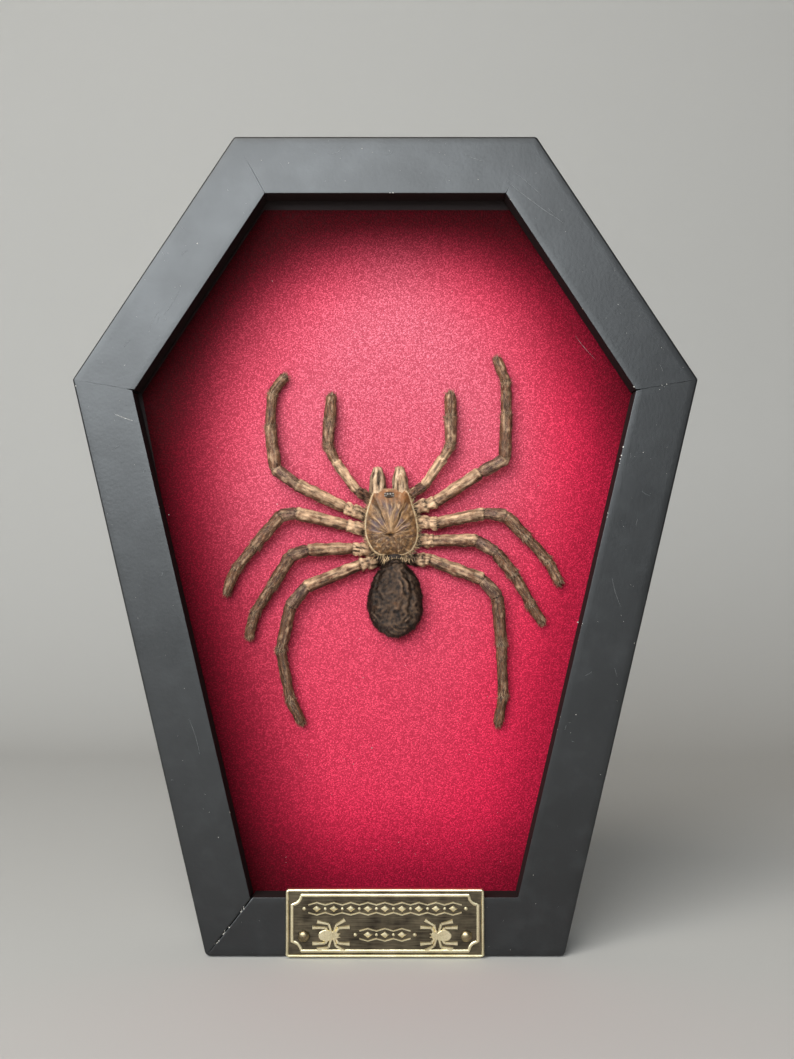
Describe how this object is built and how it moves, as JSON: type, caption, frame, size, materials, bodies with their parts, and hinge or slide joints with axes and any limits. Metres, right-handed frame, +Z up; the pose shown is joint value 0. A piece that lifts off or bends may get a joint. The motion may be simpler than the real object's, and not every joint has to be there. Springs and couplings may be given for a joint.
{
  "type": "framed tarantula specimen",
  "caption": "Coffin-shaped black wooden shadow box, open at the front, holding a dried tarantula on a crimson pearl sheet; blank brass nameplate on the bottom rail, sawtooth hanger behind.",
  "frame": {"origin": "middle of the foot, which is the lower face of the bottom rail", "axes": "+Z up along the coffin's length, +Y out of the back, -Y out of the front towards the viewer, +X to the viewer's right"},
  "size_m": [0.161, 0.0285, 0.21],
  "materials": {
    "black_paint": "satin black paint over mitred solid wood",
    "fibreboard": "raw thin fibreboard, dark brown on its front",
    "red_sheet": "crimson pearl card with a fine pebbled grain",
    "antique_brass": "brushed and darkened brass with polished raised parts",
    "dark_brass": "darkened brass",
    "zinc_plated_steel": "zinc plate",
    "carapace": "dried cuticle with short golden hair",
    "abdomen": "dried dark skin with velvety hair",
    "leg_cuticle": "dried olive-brown cuticle with short hair",
    "pale_cuticle": "dried cream-tan cuticle"
  },
  "bodies": {
    "root": {"rail_top": "black_paint", "rail_upper_right": "black_paint", "rail_lower_right": "black_paint", "rail_bottom": "black_paint", "rail_lower_left": "black_paint", "rail_upper_left": "black_paint", "backing_board": "fibreboard", "backing_sheet": "red_sheet", "nameplate": "antique_brass", "nameplate_pin_left": "dark_brass", "nameplate_pin_right": "dark_brass", "brad_top": "zinc_plated_steel", "brad_upper_right": "zinc_plated_steel", "brad_lower_right": "zinc_plated_steel", "brad_bottom": "zinc_plated_steel", "brad_lower_left": "zinc_plated_steel", "brad_upper_left": "zinc_plated_steel", "hanger": "zinc_plated_steel", "hanger_nail_left": "zinc_plated_steel", "hanger_nail_right": "zinc_plated_steel", "cephalothorax": "carapace", "abdomen": "abdomen", "chelicera_left": "pale_cuticle", "chelicera_right": "pale_cuticle", "pedipalp_left": "leg_cuticle", "pedipalp_right": "leg_cuticle", "leg_1_left": "leg_cuticle", "leg_1_right": "leg_cuticle", "leg_2_left": "leg_cuticle", "leg_2_right": "leg_cuticle", "leg_3_left": "leg_cuticle", "leg_3_right": "leg_cuticle", "leg_4_left": "leg_cuticle", "leg_4_right": "leg_cuticle"}
  },
  "joints": []
}
